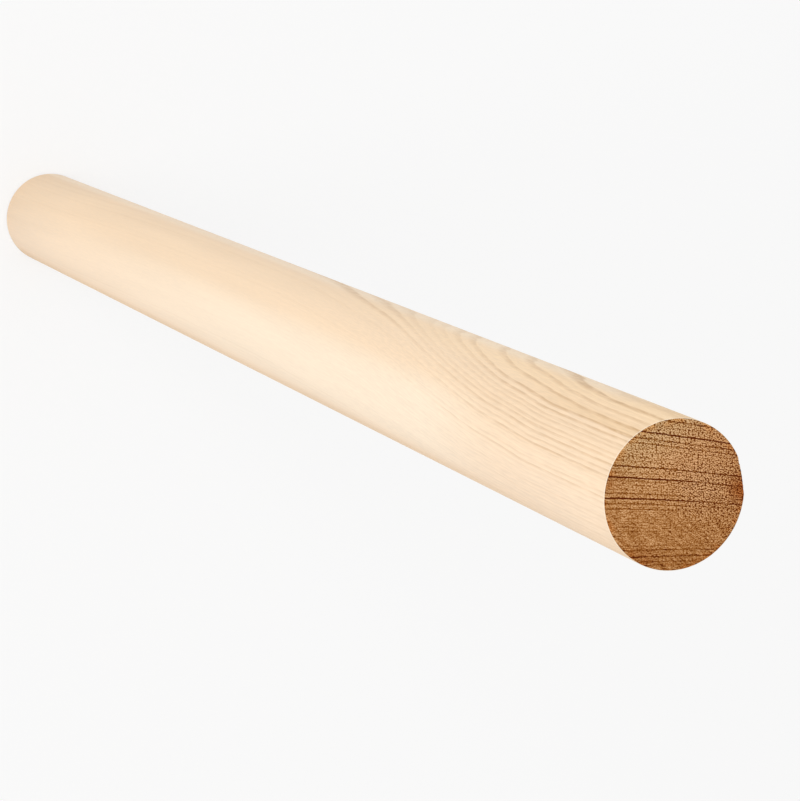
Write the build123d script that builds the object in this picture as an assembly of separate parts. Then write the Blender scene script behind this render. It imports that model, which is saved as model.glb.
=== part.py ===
from build123d import *
import math
import os

# A round softwood dowel rod, moulded from one square blank and sawn square at both ends.
# It stands upright on its foot end. The origin is the centre of the foot end's face, and
# +Z runs up the rod, along the grain, to the top end.

# The rod, in millimetres
rod_diameter = 25.0
rod_length = 400.0

# The saw leaves a sharp rim round each end, and a rub of fine paper rounds it over.
top_rim_radius = 0.3
foot_rim_radius = 0.3

# The blank was a little scant on one corner near the top end, so the round cutters missed it
# there and left a narrow planed flat. It is deepest at the top end, rises to the round surface
# on the way down and runs out. Its bearing is in degrees about +Z, from +X towards +Y.
flat_bearing = 11.0
flat_depth = 0.42
flat_run_out = 160.0

# Sizes that follow from the ones above
rod_radius = rod_diameter / 2
flat_half_width = math.sqrt(rod_radius**2 - (rod_radius - flat_depth) ** 2)


def moulded_round():
    """The full round of the rod, with both sawn rims rounded over."""
    section = Plane.XY * Circle(rod_radius)
    rod = extrude(section, amount=rod_length)
    rims = rod.edges().filter_by(GeomType.CIRCLE).sort_by(Axis.Z)
    rod = fillet(rims[-1], top_rim_radius)
    rims = rod.edges().filter_by(GeomType.CIRCLE).sort_by(Axis.Z)
    return fillet(rims[0], foot_rim_radius)


def scant_corner():
    """The wedge of air where the blank fell short of the full round.

    Its sloping face is the planed flat. The wedge runs on past the top end at the same
    slope and well clear of the round at its side, so that it leaves no skin on the rod.
    """
    slope = flat_depth / flat_run_out
    clear_of_rod = rod_diameter
    depth_past_top = flat_depth + slope * clear_of_rod
    flat_foot = (rod_radius, rod_length - flat_run_out)
    flat_top = (rod_radius - depth_past_top, rod_length + clear_of_rod)
    outer_top = (rod_radius + clear_of_rod, rod_length + clear_of_rod)
    outer_foot = (rod_radius + clear_of_rod, rod_length - flat_run_out)
    outline = Polyline(flat_foot, flat_top, outer_top, outer_foot, close=True)
    profile = Plane.XZ * make_face(outline)
    wedge = extrude(profile, amount=rod_radius, both=True)
    return Rot(0, 0, flat_bearing) * wedge


def dowel_rod():
    """The finished rod: the moulded round, less the scant corner."""
    return moulded_round() - scant_corner()


os.makedirs("parts", exist_ok=True)
rod = dowel_rod()
rod.label = "dowel_rod"
export_step(rod, "parts/dowel_rod.step")

print("planed flat at the top end is", round(2 * flat_half_width, 2), "mm wide")
print("rod volume is", round(rod.volume), "cubic millimetres")
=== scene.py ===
import math
import random

import bpy
import numpy as np
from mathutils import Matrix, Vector


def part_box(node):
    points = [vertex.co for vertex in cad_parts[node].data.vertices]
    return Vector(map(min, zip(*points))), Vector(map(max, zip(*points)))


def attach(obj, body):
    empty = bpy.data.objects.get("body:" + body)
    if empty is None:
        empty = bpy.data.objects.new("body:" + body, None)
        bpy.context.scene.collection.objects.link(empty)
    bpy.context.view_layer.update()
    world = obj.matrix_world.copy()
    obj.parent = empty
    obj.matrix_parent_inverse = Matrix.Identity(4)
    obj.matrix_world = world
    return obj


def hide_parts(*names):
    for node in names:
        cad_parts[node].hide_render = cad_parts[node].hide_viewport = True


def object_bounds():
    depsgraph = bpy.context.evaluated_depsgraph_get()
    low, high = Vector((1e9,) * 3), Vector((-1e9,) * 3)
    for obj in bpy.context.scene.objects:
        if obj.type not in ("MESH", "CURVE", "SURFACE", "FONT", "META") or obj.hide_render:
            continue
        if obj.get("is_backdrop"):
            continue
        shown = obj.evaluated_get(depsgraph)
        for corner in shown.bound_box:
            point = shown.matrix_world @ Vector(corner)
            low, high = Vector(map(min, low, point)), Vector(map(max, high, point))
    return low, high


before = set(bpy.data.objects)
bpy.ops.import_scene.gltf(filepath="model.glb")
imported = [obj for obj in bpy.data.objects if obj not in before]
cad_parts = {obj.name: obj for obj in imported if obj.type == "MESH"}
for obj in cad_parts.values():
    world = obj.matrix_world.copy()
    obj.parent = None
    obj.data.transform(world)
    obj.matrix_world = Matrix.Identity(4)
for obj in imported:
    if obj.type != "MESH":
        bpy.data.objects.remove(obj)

cad_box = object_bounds()
scene = bpy.context.scene


# ==================================================================== the rod
# One length of round pine, moulded from a square blank and sawn square at both ends. The
# blank was scant on one corner near the top end, so a narrow planed flat is left there.
# It stands on its foot end. Nothing is fixed to it.

mm = 0.001
lowest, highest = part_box("dowel_rod")
rod_length = highest.z - lowest.z
rod_radius = (highest.x - lowest.x) / 2

# The rims are eased with a rub of fine paper, by this much.
rim_radius = 0.3 * mm

# The planed flat faces this way about +Z. It is deepest at the top end and runs out below.
flat_bearing = math.radians(11.0)
flat_depth = 0.42 * mm
flat_run_out = 160.0 * mm

# How finely the mesh goes round the rod, over each rim, and up beside and below the flat.
rim_points = 800
rim_steps = 4
steps_below_flat = 4
steps_beside_flat = 9


# -------------------------------------------------------------------- its round stock
# The sawn face at the foot comes first, as a grid of small squares, and the rim, the side
# and the other rim are drawn up from its edge.

face_radius = rod_radius - rim_radius
bpy.ops.object.select_all(action="DESELECT")
bpy.ops.mesh.primitive_circle_add(
    vertices=rim_points, radius=face_radius, fill_type="NOTHING"
)
rod = bpy.context.active_object
rod.name = "pine_rod"
bpy.ops.object.mode_set(mode="EDIT")
bpy.ops.mesh.select_mode(type="EDGE")
bpy.ops.mesh.select_all(action="SELECT")
bpy.ops.mesh.fill_grid(span=rim_points // 4)

rim_turns = [math.pi / 2 * step / rim_steps for step in range(rim_steps + 1)]
foot_rim = [
    (face_radius + rim_radius * math.sin(turn), rim_radius * (1 - math.cos(turn)))
    for turn in rim_turns
]
top_rim = [(radius, rod_length - height) for radius, height in reversed(foot_rim)]
flat_foot = rod_length - flat_run_out
below_flat = np.linspace(rim_radius, flat_foot, steps_below_flat + 1)[1:]
beside_flat = np.linspace(flat_foot, rod_length - rim_radius, steps_beside_flat + 1)[1:-1]
side = [(rod_radius, height) for height in (*below_flat, *beside_flat)]
profile = foot_rim + side + top_rim

bpy.ops.mesh.select_all(action="DESELECT")
bpy.ops.mesh.select_non_manifold()
for (radius, height), (next_radius, next_height) in zip(profile, profile[1:]):
    rise = (0.0, 0.0, next_height - height)
    bpy.ops.mesh.extrude_edges_move(TRANSFORM_OT_translate={"value": rise})
    wider = next_radius / radius
    bpy.ops.transform.resize(
        value=(wider, wider, 1.0), center_override=(0.0, 0.0, next_height)
    )
bpy.ops.mesh.fill_grid(span=rim_points // 4)
bpy.ops.mesh.select_all(action="SELECT")
bpy.ops.mesh.normals_make_consistent(inside=False)
bpy.ops.object.mode_set(mode="OBJECT")
bpy.ops.object.shade_smooth()

places = np.empty(len(rod.data.vertices) * 3)
rod.data.vertices.foreach_get("co", places)
places = places.reshape(-1, 3)
reach = np.hypot(places[:, 0], places[:, 1])
bearing = np.arctan2(places[:, 1], places[:, 0])
is_high = places[:, 2] > rod_length / 2

# How far each point has turned from a sawn face, at 0, through the rim to the side, at 90
# degrees. A turn of less than slack is none.
slack = 0.01
from_end = np.minimum(places[:, 2], rod_length - places[:, 2])
rim_turn = np.arccos(np.clip(1 - from_end / rim_radius, 0.0, 1.0))


# -------------------------------------------------------------------- its map
# The grain is mapped like a veneer that wraps the rod: the side unrolls into a strip, and
# each sawn face with its rim lies above the strip as a disc.

map_margin = 0.006
strip_top = 0.565
foot_disc_across = 0.75
top_disc_across = 0.25
disc_up = 0.79
disc_size = 0.2
seam_bearing = math.radians(-90.0)
full_turn = 2 * math.pi

# Bearings that differ by less than a hair are the same.
hair = 1e-5

face_corners = np.empty(len(rod.data.loops), int)
rod.data.loops.foreach_get("vertex_index", face_corners)
face_corners = face_corners.reshape(-1, 4)
on_side = rim_turn[face_corners].min(axis=1) > math.pi / 2 - slack

past_seam = np.mod(bearing - seam_bearing + hair, full_turn)[face_corners]
ends_at_seam = past_seam.max(axis=1, keepdims=True) > math.pi
past_seam = np.where(ends_at_seam & (past_seam < 2 * hair), full_turn, past_seam)
strip_u = map_margin + (1 - 2 * map_margin) * past_seam / full_turn
strip_v = map_margin + (strip_top - map_margin) * places[face_corners, 2] / rod_length

unrolled = np.where(rim_turn < slack, reach, face_radius + rim_radius * rim_turn)
disc_share = disc_size * unrolled / (face_radius + rim_radius * math.pi / 2)
disc_across = np.where(is_high, top_disc_across, foot_disc_across)
disc_u = disc_across + disc_share * np.cos(bearing)
disc_v = disc_up + disc_share * np.sin(bearing)
u = np.where(on_side[:, None], strip_u, disc_u[face_corners])
v = np.where(on_side[:, None], strip_v, disc_v[face_corners])
veneer = rod.data.uv_layers.new(name="OFBake")
veneer.uv.foreach_set("vector", np.stack([u, v], axis=-1).astype(np.float32).ravel())


# -------------------------------------------------------------------- its planed flat
# What stands proud of the flat's sloping plane is pressed back onto it. The sawn face is
# drawn in with its edge, and less and less towards its middle.

# Only what faces within 60 degrees of the flat's bearing, by its cosine, can stand proud of
# it. The power keeps the drawing in of the sawn face to near its edge.
towards_flat = 0.5
edge_only = 12

above_run_out = np.clip((places[:, 2] - flat_foot) / flat_run_out, 0.0, None)
plane = rod_radius - flat_depth * above_run_out
facing = np.cos(bearing - flat_bearing)
on_plane = plane / np.maximum(facing, towards_flat)
edge = np.where(facing > towards_flat, on_plane, rod_radius)
pressed = np.minimum(1.0, edge / np.maximum(reach, hair * mm))
fades_inward = (reach / face_radius) ** edge_only
drawn_in = 1 - (1 - np.minimum(1.0, edge / face_radius)) * fades_inward
drawn_in = np.where(is_high & (rim_turn < slack), drawn_in, pressed)
places[:, :2] *= drawn_in[:, None]


# -------------------------------------------------------------------- its growth rings
# The rod was cut well out from the heart of a slow-grown tree, so the rings cross it as
# nearly flat sheets. Each year ends in a thin sheet of hard, dark late wood. The sheets lie
# level at the top end and then climb through the rod, round a knot that was milled away.

# Hard winters: how far out from the rod's axis the dark sheet lies at the top end, in
# millimetres, how dark it is where it is sawn, and how dark where it is planed.
hard_winters = [
    (12.72, 0.35, 0.28),
    (11.9, 0.55, 0.75),
    (10.8, 0.20, 0.52),
    (9.65, 1.00, 0.62),
    (8.6, 0.50, 0.74),
    (7.8, 0.40, 0.64),
    (4.95, 0.15, 0.44),
    (4.1, 0.62, 0.55),
    (2.35, 1.00, 0.60),
    (1.85, 0.22, 0.20),
    (-0.1, 0.36, 0.25),
    (-0.9, 0.88, 0.44),
    (-1.7, 0.38, 0.15),
    (-2.55, 0.28, 0.10),
    (-9.0, 0.38, 0.10),
    (-10.05, 0.52, 0.20),
    (-10.9, 0.25, 0.15),
    (-14.2, 0.80, 0.60),
    (-17.4, 0.60, 0.50),
    (-20.5, 0.90, 0.70),
]
innermost = -24.0

# Mild winters fill the gaps. Each wanders by up to this share of a year, and is this dark
# sawn and planed. Where it is planed, one inside the outermost years also takes a share of
# the darkness of the hard winter outside it.
usual_year = 0.72
year_wander = 0.12
mild_sawn = (0.03, 0.16)
mild_planed = (0.0, 0.15)
hard_share = 0.4
outermost_years = 8.0

# The climb of the sheets: stretches below the top end, and how far they rise over each.
climbs = [
    (29.0, 125.0, 6.25),
    (80.0, 185.0, 2.9),
    (30.0, 43.0, 0.25),
    (44.0, 58.0, -0.25),
    (230.0, 400.0, -2.4),
]

# The outermost years bend first.
outer_years = (8.9, 9.5)
outer_climb = (19.0, 31.0, 0.36)

# The rings fan out from a line far to one side of the rod, and sag a little across it. Once
# they climb, they also curl up, by this much, on the side towards that line.
fan_far = 152.5
fan_below = 19.5
ring_sag = 0.0012
curl = 3.5
curl_across = (1.5, 12.5)
curl_starts = (8.0, 45.0)


def winters():
    """Every late-wood sheet from the bark inwards: its place, darkness sawn and planed."""
    dice = random.Random(11)
    sheets = []
    next_places = [place for place, _, _ in hard_winters[1:]] + [innermost]
    for (place, sawn, planed), next_place in zip(hard_winters, next_places):
        sheets.append((place, sawn, planed))
        gap = place - next_place
        mild_years = max(1, round(gap / usual_year))
        for year in range(1, mild_years):
            wander = dice.uniform(-year_wander, year_wander) * usual_year
            sawn_dark = dice.uniform(*mild_sawn)
            planed_dark = dice.uniform(*mild_planed)
            if place < outermost_years:
                planed_dark += hard_share * planed
            sheets.append((place - gap * year / mild_years + wander, sawn_dark, planed_dark))
    return sheets


def smoothly(values, low, high):
    """From 0 at low to 1 at high, with an ease at both ends."""
    share = np.clip((values - low) / (high - low), 0.0, 1.0)
    return share * share * (3 - 2 * share)


def growth_at(places):
    """How far out in the tree each place is, on the scale of hard_winters."""
    across, out, height = (places / mm).T
    depth = rod_length / mm - height
    out = out + curl * smoothly(across, *curl_across) * smoothly(depth, *curl_starts)
    out = (out + ring_sag * across**2 + fan_below) * fan_far / (fan_far - across) - fan_below
    for low, high, rise in climbs:
        out = out - rise * smoothly(depth, low, high)
    low, high, rise = outer_climb
    return out - rise * smoothly(depth, low, high) * smoothly(out, *outer_years)


# -------------------------------------------------------------------- its sawn faces
# The saw tears the soft early wood out a little and leaves the hard late wood standing, so
# both faces are ribbed along the rings and rough between them. Its teeth also leave faint
# straight scratches, which run down across the rings.

skin = 0.03 * mm
rib_height = 0.07 * mm
rib_width = 0.22
scratch_run = math.radians(-42.0)
scratch_depth = 0.035 * mm
scratch_width = 0.2 * mm
scratch_strength = (0.2, 1.0)
scratch_spacing = (0.5, 1.1)
torn_fibres = (0.4 * mm, 0.11 * mm)
saw_wander = (2.4 * mm, 0.08 * mm)

growth = growth_at(places)
standing = np.zeros(len(places))
for middle, sawn_dark, _ in winters():
    standing += sawn_dark * np.exp(-(((growth - middle) / rib_width) ** 2))
lowered = skin + rib_height * (1 - np.clip(standing, 0.0, 1.0))
over = places[:, 1] * math.cos(scratch_run) - places[:, 0] * math.sin(scratch_run)
dice = random.Random(5)
scratch = -rod_radius
while scratch < rod_radius:
    depth = scratch_depth * dice.uniform(*scratch_strength)
    lowered += depth * np.exp(-(((over - scratch) / scratch_width) ** 2))
    scratch += dice.uniform(*scratch_spacing) * mm
lowered *= np.cos(rim_turn)
places[:, 2] += np.where(is_high, -lowered, lowered)
rod.data.vertices.foreach_set("co", places.ravel())
rod.data.update()

sawn = rod.vertex_groups.new(name="sawn")
for turn in rim_turns[:-1]:
    here = np.flatnonzero(np.abs(rim_turn - turn) < slack)
    sawn.add([int(point) for point in here], math.cos(turn), "REPLACE")
for name, (size, depth) in (("torn_fibres", torn_fibres), ("saw_wander", saw_wander)):
    roughness = bpy.data.textures.new(name, "CLOUDS")
    roughness.noise_scale = size
    roughness.noise_depth = 2
    tear = rod.modifiers.new(name, "DISPLACE")
    tear.texture = roughness
    tear.texture_coords = "LOCAL"
    tear.direction = "NORMAL"
    tear.mid_level = 0.0
    tear.strength = -depth
    tear.vertex_group = "sawn"
    bpy.ops.object.modifier_apply(modifier=name)
rod.vertex_groups.clear()

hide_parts("dowel_rod")
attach(rod, "root")


# -------------------------------------------------------------------- its wood
# Both finishes are the same pine. They read one place in the tree, and differ in how the
# cutter met the fibres: along them on the side, and across them on the sawn faces.

# The sheets waver: the size of the wavers across, out and along, and how far they go. The
# usual waver is taken off again, so that the sheets stay in place.
slow_waver = (6.0, 6.0, 40.0)
slow_waver_reach = 0.24
quick_waver = (0.8, 0.8, 5.0)
quick_waver_reach = 0.16
usual_waver = (slow_waver_reach + quick_waver_reach) / 2

# A sheet's darkness at distances out from its middle, after it has faded in. A ramp can hold
# the stops of this many sheets.
sheet_edges = ((-0.08, 1.0), (0.05, 1.0), (0.14, 0.0))
sheets_a_ramp = 7
ramp_margin = 1.0


def paint(red, green, blue):
    """A colour written as it looks, from 0 to 255, as the light that a shader works in."""
    linear = [((part / 255 + 0.055) / 1.055) ** 2.4 for part in (red, green, blue)]
    return (*linear, 1.0)


def node(tree, kind, inputs=None, **settings):
    """One shader node, with its settings, and with sockets or plain values put in."""
    made = tree.nodes.new(kind)
    for name, value in settings.items():
        setattr(made, name, value)
    for name, value in (inputs or {}).items():
        if isinstance(value, bpy.types.NodeSocket):
            tree.links.new(value, made.inputs[name])
        else:
            made.inputs[name].default_value = value
    return made


def maths(tree, operation, *values):
    """The result of one sum on sockets or plain numbers."""
    return node(tree, "ShaderNodeMath", dict(enumerate(values)), operation=operation).outputs[0]


def product(tree, result, *others):
    """Values multiplied together."""
    for other in others:
        result = maths(tree, "MULTIPLY", result, other)
    return result


def varied(tree, value, noise, amount):
    """A value that noise from 0 to 1 moves up or down, by half of amount at most."""
    return maths(tree, "MULTIPLY_ADD", maths(tree, "SUBTRACT", noise, 0.5), amount, value)


def eased(tree, value, low, high, start=0.0, end=1.0):
    """A value that goes smoothly from start to end as another goes from low to high."""
    inputs = {"Value": value, "From Min": low, "From Max": high, "To Min": start, "To Max": end}
    made = node(tree, "ShaderNodeMapRange", inputs, interpolation_type="SMOOTHSTEP")
    return made.outputs[0]


def between(tree, value, rise, fall):
    """From 0 to 1 over the stretch called rise, and back to 0 over the stretch called fall."""
    return maths(tree, "MINIMUM", eased(tree, value, *rise), eased(tree, value, *fall, 1.0, 0.0))


def blend(tree, share, under, over, kind="MIX"):
    """One colour going over to another, or darkened by it."""
    inputs = {0: share, 6: under, 7: over}
    return node(tree, "ShaderNodeMix", inputs, data_type="RGBA", blend_type=kind).outputs[2]


def vector(tree, operation, *values):
    """The result of one sum on places."""
    inputs = dict(enumerate(values))
    return node(tree, "ShaderNodeVectorMath", inputs, operation=operation).outputs[0]


def length(tree, operation, *values):
    """The length that comes of one sum on places."""
    inputs = dict(enumerate(values))
    made = node(tree, "ShaderNodeVectorMath", inputs, operation=operation)
    return made.outputs["Value"]


def parts(tree, place):
    """The three parts of a place."""
    return node(tree, "ShaderNodeSeparateXYZ", {0: place}).outputs


def patches(tree, place, size, detail=2.0):
    """Soft noise from 0 to 1, whose patches measure size along each of three directions."""
    stretched = vector(tree, "MULTIPLY", place, tuple(1 / span for span in size))
    inputs = {"Vector": stretched, "Scale": 1.0, "Detail": detail, "Roughness": 0.5}
    return node(tree, "ShaderNodeTexNoise", inputs).outputs[0]


def place_on_rod(tree):
    """A place in millimetres: along X, along Y, and down from the top end."""
    here = node(tree, "ShaderNodeTexCoord").outputs["Object"]
    to_mm = (1 / mm, 1 / mm, -1 / mm)
    return vector(tree, "MULTIPLY_ADD", here, to_mm, (0.0, 0.0, rod_length / mm))


def place_in_tree(tree, here):
    """The same place across the rings, outwards through them, and along the grain."""
    across, out, depth = parts(tree, here)
    slow = patches(tree, here, slow_waver)
    out = maths(tree, "MULTIPLY_ADD", slow, slow_waver_reach, out)
    quick = patches(tree, here, quick_waver, detail=1.0)
    out = maths(tree, "MULTIPLY_ADD", quick, quick_waver_reach, out)
    curled = eased(tree, across, *curl_across, 0.0, curl)
    curled = product(tree, curled, eased(tree, depth, *curl_starts))
    out = maths(tree, "ADD", out, curled)
    sag = product(tree, maths(tree, "POWER", across, 2.0), ring_sag)
    out = maths(tree, "ADD", maths(tree, "ADD", out, sag), fan_below - usual_waver)
    spread = maths(tree, "DIVIDE", fan_far, maths(tree, "SUBTRACT", fan_far, across))
    out = maths(tree, "SUBTRACT", product(tree, out, spread), fan_below)
    for low, high, rise in climbs:
        out = maths(tree, "SUBTRACT", out, eased(tree, depth, low, high, 0.0, rise))
    low, high, rise = outer_climb
    climb = eased(tree, depth, low, high, 0.0, rise)
    out = maths(tree, "SUBTRACT", out, product(tree, climb, eased(tree, out, *outer_years)))
    return node(tree, "ShaderNodeCombineXYZ", {0: across, 1: out, 2: depth}).outputs[0]


def late_wood(tree, out, fade, is_planed):
    """How dark the late wood is at a distance out in the tree.

    A sheet fades in from the heart side over this many millimetres, and stops short outwards.
    """
    sheets = sorted(winters())
    total = 0.0
    for first in range(0, len(sheets), sheets_a_ramp):
        some = sheets[first:first + sheets_a_ramp]
        low = some[0][0] - ramp_margin
        high = some[-1][0] + ramp_margin
        share = maths(tree, "DIVIDE", maths(tree, "SUBTRACT", out, low), high - low)
        ramp = node(tree, "ShaderNodeValToRGB", {0: share})
        stops = ramp.color_ramp.elements
        stops[0].color = stops[1].color = (0.0, 0.0, 0.0, 1.0)
        for middle, sawn_dark, planed_dark in some:
            dark = planed_dark if is_planed else sawn_dark
            for offset, strength in ((-fade, 0.0), *sheet_edges):
                stop = stops.new((middle + offset - low) / (high - low))
                stop.color = (dark * strength, dark * strength, dark * strength, 1.0)
        total = maths(tree, "ADD", total, ramp.outputs["Color"])
    return total


# The long grain: planed cream wood between soft tan lines, with fine fibres along it. It is
# browner in the dense outer years, and browner on the heart side, partly as painted shade. It
# is paler on the side that the rings fan from, partly as painted light. It has painted light
# along the edge at +Y and down the side that faces the lamp. The lines fade down the rod, but
# last on the outer sheets and on the side that the rings fan from.
long_grain = bpy.data.materials.new("pine_long_grain")
long_grain.use_nodes = True
tree = long_grain.node_tree
shader = tree.nodes["Principled BSDF"]
here = place_on_rod(tree)
place = place_in_tree(tree, here)
x, y, depth = parts(tree, here)
out = parts(tree, place)["Y"]
fibres = patches(tree, place, (0.2, 0.2, 4.0))
clouds = patches(tree, place, (5.0, 3.0, 60.0))
breaks = patches(tree, place, (0.7, 0.7, 5.0))

# The early wood, and what changes its cream.
early = blend(tree, eased(tree, y, -4.0, 9.0), paint(252, 226, 197), paint(247, 219, 186))
# Browner along the heart side: partly the wood, partly painted shade along that edge.
heart_side_and_shade = eased(tree, y, -9.8, -6.3, 1.0, 0.0)
heart_side_and_shade = product(tree, heart_side_and_shade, eased(tree, depth, 10.0, 100.0, 0.3, 1.0))
dense_years = between(tree, out, (8.5, 8.8), (9.2, 11.0))
dense_years = product(tree, dense_years, eased(tree, depth, 12.0, 60.0, 1.0, 0.1))
last_years = eased(tree, out, 11.0, 12.4)
# Warmer and paler along the edge at +Y: painted light, where the lamp's light falls off.
golden_edge_light = eased(tree, y, 10.5, 12.4)
golden_edge_light = product(tree, golden_edge_light, eased(tree, depth, 30.0, 180.0, 1.0, 0.0))
# Paler on the side that the rings fan from: partly the wood, partly painted light on the side
# away from the lamp.
fan_side_and_light = eased(tree, x, -1.8, 1.0, 0.0, 0.42)
fan_side_and_light = product(tree, fan_side_and_light, eased(tree, depth, 8.0, 30.0))
# Paler in a stretch down the side that faces the lamp: painted light.
far_from_fan = eased(tree, maths(tree, "MULTIPLY_ADD", y, 0.07, x), -12.4, -9.0, 0.8, 0.1)
painted_light_stretch = product(
    tree, eased(tree, depth, 40.0, 85.0), far_from_fan,
    eased(tree, depth, 150.0, 380.0, 1.0, 0.1),
)
for share, colour in (
    (heart_side_and_shade, paint(245, 213, 177)),
    (dense_years, paint(241, 210, 171)),
    (last_years, paint(252, 228, 198)),
    (golden_edge_light, paint(255, 225, 186)),
    (fan_side_and_light, paint(255, 240, 219)),
    (painted_light_stretch, paint(255, 236, 211)),
):
    early = blend(tree, share, early, colour)

# The lines of late wood, broken here and there, and how long they last down the rod.
late = late_wood(tree, out, fade=0.38, is_planed=True)
late = product(tree, late, eased(tree, breaks, 0.3, 0.6, 0.5, 1.1))
outer_sheets = maths(
    tree, "ADD",
    eased(tree, depth, 20.0, 45.0, 0.0, 0.12), eased(tree, depth, 85.0, 140.0, 0.0, 0.55),
)
outer_sheets = product(
    tree, outer_sheets, eased(tree, out, 3.3, 3.9), eased(tree, depth, 160.0, 220.0, 1.0, 0.0)
)
firm_sheets = between(tree, out, (8.1, 8.4), (9.9, 10.3))
firm_sheets = product(tree, firm_sheets, eased(tree, depth, 5.0, 12.0, 0.45, 0.0))
lasting = maths(tree, "ADD", outer_sheets, firm_sheets)
lasting = maths(tree, "ADD", eased(tree, depth, 15.0, 110.0, 0.85, 0.13), lasting)
lasting = maths(tree, "MAXIMUM", lasting, eased(tree, x, 2.5, 6.0, 0.0, 0.55))
wood = blend(tree, product(tree, late, lasting), early, paint(206, 168, 124))

# A painted highlight along each eased arris: pale cream at these distances from each end.
highlight_starts = 0.25
highlight_stops = 0.55
foot = rod_length / mm
top_rim_highlight = eased(tree, depth, highlight_starts, highlight_stops, 1.0, 0.0)
foot_rim_highlight = eased(tree, depth, foot - highlight_stops, foot - highlight_starts)
rim_highlight = product(tree, maths(tree, "MAXIMUM", top_rim_highlight, foot_rim_highlight), 0.6)
wood = blend(tree, rim_highlight, wood, paint(255, 244, 222))

# The fibres streak it, less further down, and clouds of tone lie over it.
streaks = eased(tree, fibres, 0.25, 0.75, -0.05, 0.05)
streaks = product(tree, streaks, eased(tree, depth, 60.0, 200.0, 1.0, 0.4))
tone = maths(tree, "ADD", streaks, eased(tree, clouds, 0.2, 0.8, 0.98, 1.02))
wood = node(tree, "ShaderNodeVectorMath", {0: wood, "Scale": tone}, operation="SCALE").outputs[0]
tree.links.new(wood, shader.inputs["Base Color"])
shader.inputs["Specular IOR Level"].default_value = 0.15
tree.links.new(eased(tree, fibres, 0.2, 0.8, 0.5, 0.64), shader.inputs["Roughness"])
bump = node(tree, "ShaderNodeBump", {"Height": fibres, "Distance": 0.02 * mm, "Strength": 0.6})
tree.links.new(bump.outputs[0], shader.inputs["Normal"])
rod.data.materials.append(long_grain)

# The end grain: the sawn face soaks up the light between its torn fibres, so it is browner,
# and each cut bundle of fibres is a light or a dark speck. Resin has soaked into a few spots
# near the edge, and round the rim the wood is warmer. At the very edge a thin cream line is a
# painted highlight along the arris.
end_grain = bpy.data.materials.new("pine_end_grain")
end_grain.use_nodes = True
tree = end_grain.node_tree
shader = tree.nodes["Principled BSDF"]
here = place_on_rod(tree)
place = place_in_tree(tree, here)
across, out, _ = parts(tree, place)
y = parts(tree, here)["Y"]
barkwards = maths(tree, "MULTIPLY_ADD", across, 0.6, out)
heartwards = maths(tree, "SUBTRACT", product(tree, across, 0.7), out)
crosswise = maths(tree, "MULTIPLY_ADD", out, 0.3, across)
from_axis = length(tree, "LENGTH", vector(tree, "MULTIPLY", here, (1.0, 1.0, 0.0)))
specks = patches(tree, here, (0.26, 0.26, 4.0), detail=0.0)
rows = patches(tree, place, (1.6, 0.19, 4.0))
blotches = patches(tree, place, (2.2, 1.6, 6.0))
breaks = patches(tree, place, (2.0, 0.8, 4.0), detail=3.0)

# The cut bundles stand in rows along the rings, each this wide and this thick. A bundle is
# lightest at its tip, by this much.
bundle_width = 0.34
bundle_thickness = 0.205
tip_light = 0.36
bundle_size = (1 / bundle_width, 1 / bundle_thickness, 0.0)
bundles = {"Vector": vector(tree, "MULTIPLY", place, bundle_size)}
bundles.update({"Scale": 1.0, "Randomness": 0.85})
in_rows = {"voronoi_dimensions": "2D", "distance": "CHEBYCHEV"}
bundles = node(tree, "ShaderNodeTexVoronoi", bundles, **in_rows).outputs
bundle_tone = node(tree, "ShaderNodeSeparateColor", {0: bundles["Color"]}).outputs[0]
tips = maths(tree, "SUBTRACT", tip_light, bundles["Distance"])

# The grit of the face: tips, rows and saw scratches. It is coarsest barkwards, and where the
# fibres are frayed, to one side of the middle. The scratches are painted shade and light
# standing in for the saw's grooves, and show on the heart side.
frayed_middle = (4.5, 1.5, 0.0)
frayed = eased(tree, length(tree, "DISTANCE", place, frayed_middle), 1.0, 6.5, 0.9, 0.0)
contrast = maths(tree, "ADD", eased(tree, barkwards, -10.0, 10.0, 0.9, 2.2), frayed)
turned = {"Vector": here, "Angle": -scratch_run}
turned = node(tree, "ShaderNodeVectorRotate", turned, rotation_type="Z_AXIS").outputs[0]
scratches = patches(tree, turned, (4.0, 0.42, 4.0), detail=1.0)
grit = product(tree, tips, contrast)
grit = varied(tree, grit, bundle_tone, 0.2)
grit = varied(tree, grit, scratches, eased(tree, y, -9.0, 2.0, 0.72, 0.1))
grit = varied(tree, grit, rows, 0.9)

# The lines of late wood. They hold less grit, and fade towards the side that the rings fan
# from, apart from the outer ones.
late = late_wood(tree, varied(tree, out, bundle_tone, 0.06), fade=0.16, is_planed=False)
late = product(tree, late, eased(tree, breaks, 0.3, 0.6, 0.6, 1.1))
outer_sheets = eased(tree, out, 3.0, 4.2)
lasting = maths(tree, "MAXIMUM", eased(tree, across, -4.0, 8.0, 0.98, 0.48), outer_sheets)
late = product(tree, late, lasting)
grit = product(tree, grit, eased(tree, late, 0.0, 1.0, 1.0, 0.35))

# From the darkest brown, at level 0, to the palest, at level 1.
level = maths(tree, "ADD", eased(tree, heartwards, -18.0, 16.0, 0.775, 0.51), grit)
level = varied(tree, level, blotches, 0.15)
level = maths(tree, "MULTIPLY_ADD", maths(tree, "POWER", crosswise, 2.0), -0.00045, level)
level = maths(tree, "MULTIPLY_ADD", late, -1.1, level)
ramp = node(tree, "ShaderNodeValToRGB", {0: level})
stops = ramp.color_ramp.elements
stops[0].color = paint(92, 32, 1)
stops[1].color = paint(236, 187, 140)
for position, colour in (
    (0.15, paint(121, 63, 10)),
    (0.30, paint(143, 86, 31)),
    (0.45, paint(163, 107, 55)),
    (0.60, paint(182, 127, 75)),
    (0.75, paint(201, 148, 97)),
    (0.90, paint(220, 170, 120)),
):
    stops.new(position).color = colour
wood = ramp.outputs["Color"]

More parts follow.
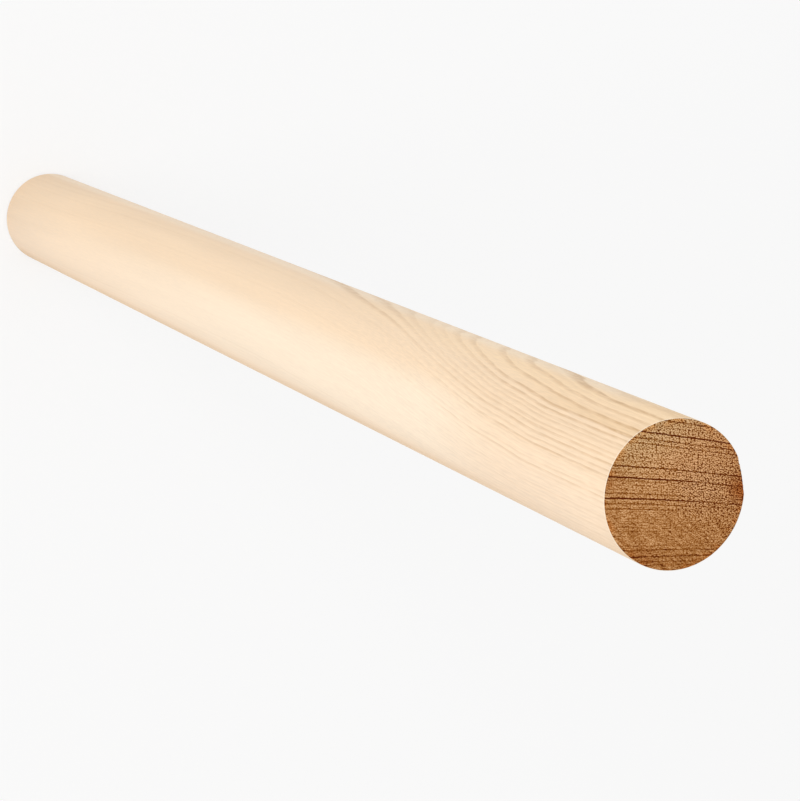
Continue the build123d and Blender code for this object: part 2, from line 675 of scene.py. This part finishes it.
# What tints it: dust barkwards, warmth round the rim, and resin in three spots.
dusty = eased(tree, heartwards, -14.0, -4.0, 1.0, 0.0)
warm = product(tree, eased(tree, from_axis, 10.8, 12.4), eased(tree, blotches, 0.42, 0.6), 0.7)
tints = [(dusty, (0.92, 1.03, 1.07, 1.0)), (warm, (1.0, 0.74, 0.42, 1.0))]
for middle, soaked in (
    ((11.6, 1.7, 0.0), 1.0),
    ((-11.2, 1.9, 0.0), 0.5),
    ((-5.6, -10.6, 0.0), 0.35),
):
    resin = eased(tree, length(tree, "DISTANCE", place, middle), 0.3, 3.6, soaked, 0.0)
    tints.append((resin, (0.75, 0.52, 0.33, 1.0)))
for share, tint in tints:
    wood = blend(tree, share, wood, tint, "MULTIPLY")
# A painted highlight: a thin cream line along the very edge of the face.
edge_highlight = maths(tree, "MULTIPLY_ADD", bundle_tone, 0.06, from_axis)
wood = blend(tree, eased(tree, edge_highlight, 12.46, 12.53), wood, paint(250, 218, 174))
tree.links.new(wood, shader.inputs["Base Color"])
shader.inputs["Specular IOR Level"].default_value = 0.05
tree.links.new(eased(tree, specks, 0.3, 0.7, 0.75, 0.95), shader.inputs["Roughness"])
bump = node(tree, "ShaderNodeBump", {"Height": specks, "Distance": 0.1 * mm, "Strength": 0.4})
tree.links.new(bump.outputs[0], shader.inputs["Normal"])
rod.data.materials.append(end_grain)

# The brown of the sawn face goes on over most of the rim.
brown_stops = math.radians(70.0)
is_sawn = rim_turn[face_corners].max(axis=1) < brown_stops
rod.data.polygons.foreach_set("material_index", is_sawn.astype(int))
rod.data.update()


# ==================================================================== the floor
# A plain pale studio floor, some metres across, for the rod to stand on. To the camera it is
# nearly white, with the rod's soft shadow on it.

floor_width = 8.0
floor_glow = 0.65
white = (1.0, 1.0, 1.0, 1.0)


def seen_as_background(tree):
    """1 where the camera sees a thing straight, by gloss or through glass, and 0 elsewhere."""
    rays = node(tree, "ShaderNodeLightPath").outputs
    seen = maths(tree, "MAXIMUM", rays["Is Camera Ray"], rays["Is Glossy Ray"])
    return maths(tree, "MAXIMUM", seen, rays["Is Transmission Ray"])


bpy.ops.object.select_all(action="DESELECT")
bpy.ops.mesh.primitive_plane_add(size=floor_width)
floor = bpy.context.active_object
floor.name = "floor"
floor_paint = bpy.data.materials.new("floor_paint")
floor_paint.use_nodes = True
tree = floor_paint.node_tree
shader = tree.nodes["Principled BSDF"]
shader.inputs["Base Color"].default_value = paint(247, 247, 247)
shader.inputs["Roughness"].default_value = 1.0
shader.inputs["Specular IOR Level"].default_value = 0.0
glow = node(tree, "ShaderNodeEmission", {"Color": white, "Strength": 1.0})
share = product(tree, seen_as_background(tree), floor_glow)
surface = node(tree, "ShaderNodeMixShader", {0: share, 1: shader.outputs[0], 2: glow.outputs[0]})
tree.links.new(surface.outputs[0], tree.nodes["Material Output"].inputs["Surface"])
floor.data.materials.append(floor_paint)
floor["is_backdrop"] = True


# ==================================================================== the light
# A white studio: even light from all round, and one large soft lamp from the near left.

even_light = 0.77
backdrop_white = 0.94
studio = bpy.data.worlds.new("studio")
scene.world = studio
studio.use_nodes = True
tree = studio.node_tree
strength = eased(tree, seen_as_background(tree), 0.0, 1.0, even_light, backdrop_white)
tree.links.new(strength, tree.nodes["Background"].inputs["Strength"])
tree.nodes["Background"].inputs["Color"].default_value = white

lamp_bearing = math.radians(160.0)
lamp_pitch = math.radians(38.0)
lamp_reach = 2.4
lamp_data = bpy.data.lights.new("soft_lamp", type="AREA")
lamp_data.shape = "DISK"
lamp_data.size = 2.2
lamp_data.energy = 18.5
lamp = bpy.data.objects.new("soft_lamp", lamp_data)
scene.collection.objects.link(lamp)
rod_middle = Vector((0.0, 0.0, rod_length / 2))
outwards = Vector((
    math.cos(lamp_pitch) * math.cos(lamp_bearing),
    math.cos(lamp_pitch) * math.sin(lamp_bearing),
    math.sin(lamp_pitch),
))
lamp.location = rod_middle + lamp_reach * outwards
lamp.rotation_euler = (-outwards).to_track_quat("-Z", "Y").to_euler()


# ==================================================================== the camera
# It looks down on the sawn top end from the near left, with a long lens, and is turned so
# that the rod runs away to the upper left.

above_rod = 0.4232
camera_data = bpy.data.cameras.new("camera")
camera_data.sensor_width = 36.0
camera_data.lens = 134.7
camera = bpy.data.objects.new("camera", camera_data)
scene.collection.objects.link(camera)
camera.location = (-0.2097, 0.1010, rod_length + above_rod)
camera.rotation_euler = (math.radians(-10.316), math.radians(-20.99), 0.0)
scene.camera = camera
scene.view_settings.view_transform = "Standard"

model_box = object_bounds()
size = {"cad": [list(corner) for corner in cad_box], "model": [list(c) for c in model_box]}
